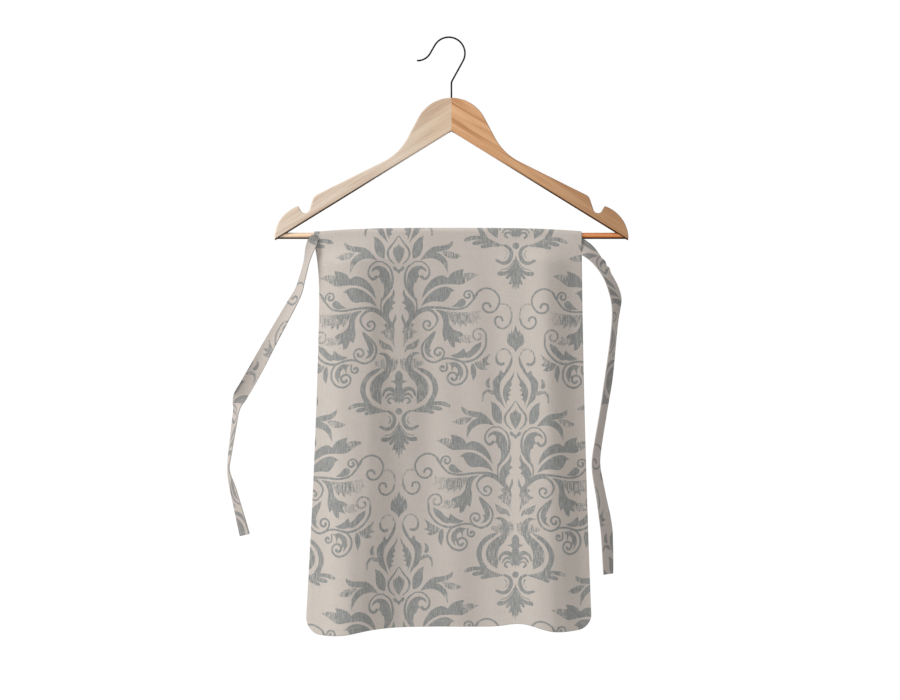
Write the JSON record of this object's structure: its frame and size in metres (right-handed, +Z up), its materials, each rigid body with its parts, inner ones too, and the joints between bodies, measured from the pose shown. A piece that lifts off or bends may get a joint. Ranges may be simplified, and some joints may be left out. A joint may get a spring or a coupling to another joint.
{
  "type": "half apron on a hanger",
  "caption": "Printed cloth half apron with tape ties, draped over the bar of a flat wooden hanger whose bent wire hook swivels.",
  "frame": {"origin": "the inner face of the hook's bend, straight above the stem, where the hook sits on a rail", "axes": "+Z up, +X to the right seen from the front, and the front of the apron faces -Y"},
  "size_m": [0.5096, 0.0378, 0.7482],
  "materials": {
    "hook_steel": "blackened, satin",
    "washer_steel": "plain",
    "pale_wood": "fine straight grain, thin satin lacquer",
    "warm_wood": "fine straight grain, thin satin lacquer",
    "tenon_wood": "raw, glued",
    "bar_wood": "turned, satin lacquer",
    "nail_steel": "plain",
    "apron_cloth": "plain weave linen mix, beige with a faded grey damask print",
    "tie_cloth": "the same cloth, folded and stitched into tape"
  },
  "bodies": {
    "hook": {"hook_wire": "hook_steel"},
    "hanger": {"hook_washer": "washer_steel", "left_arm": "pale_wood", "right_arm": "warm_wood", "joint_tenon": "tenon_wood", "trouser_bar": "bar_wood", "bar_nails": "nail_steel"},
    "apron": {"apron_panel": "apron_cloth"},
    "tie_left": {"left_tie": "tie_cloth"},
    "tie_right": {"right_tie": "tie_cloth"}
  },
  "joints": [
    {"name": "hook_swivel", "type": "hinge", "parent": "hook", "child": "hanger", "pos_m": [0, 0, 0], "axis": [0, 0, 1], "continuous": true},
    {"name": "apron_swing", "type": "hinge", "parent": "hanger", "child": "apron", "pos_m": [0, 0, -0.249], "axis": [1, 0, 0], "range_deg": [-20, 20]},
    {"name": "left_tie_swing", "type": "hinge", "parent": "apron", "child": "tie_left", "pos_m": [-0.1744, 0, -0.249], "axis": [1, 0, 0], "range_deg": [-25, 25]},
    {"name": "right_tie_swing", "type": "hinge", "parent": "apron", "child": "tie_right", "pos_m": [0.1746, 0, -0.249], "axis": [1, 0, 0], "range_deg": [-25, 25]}
  ]
}
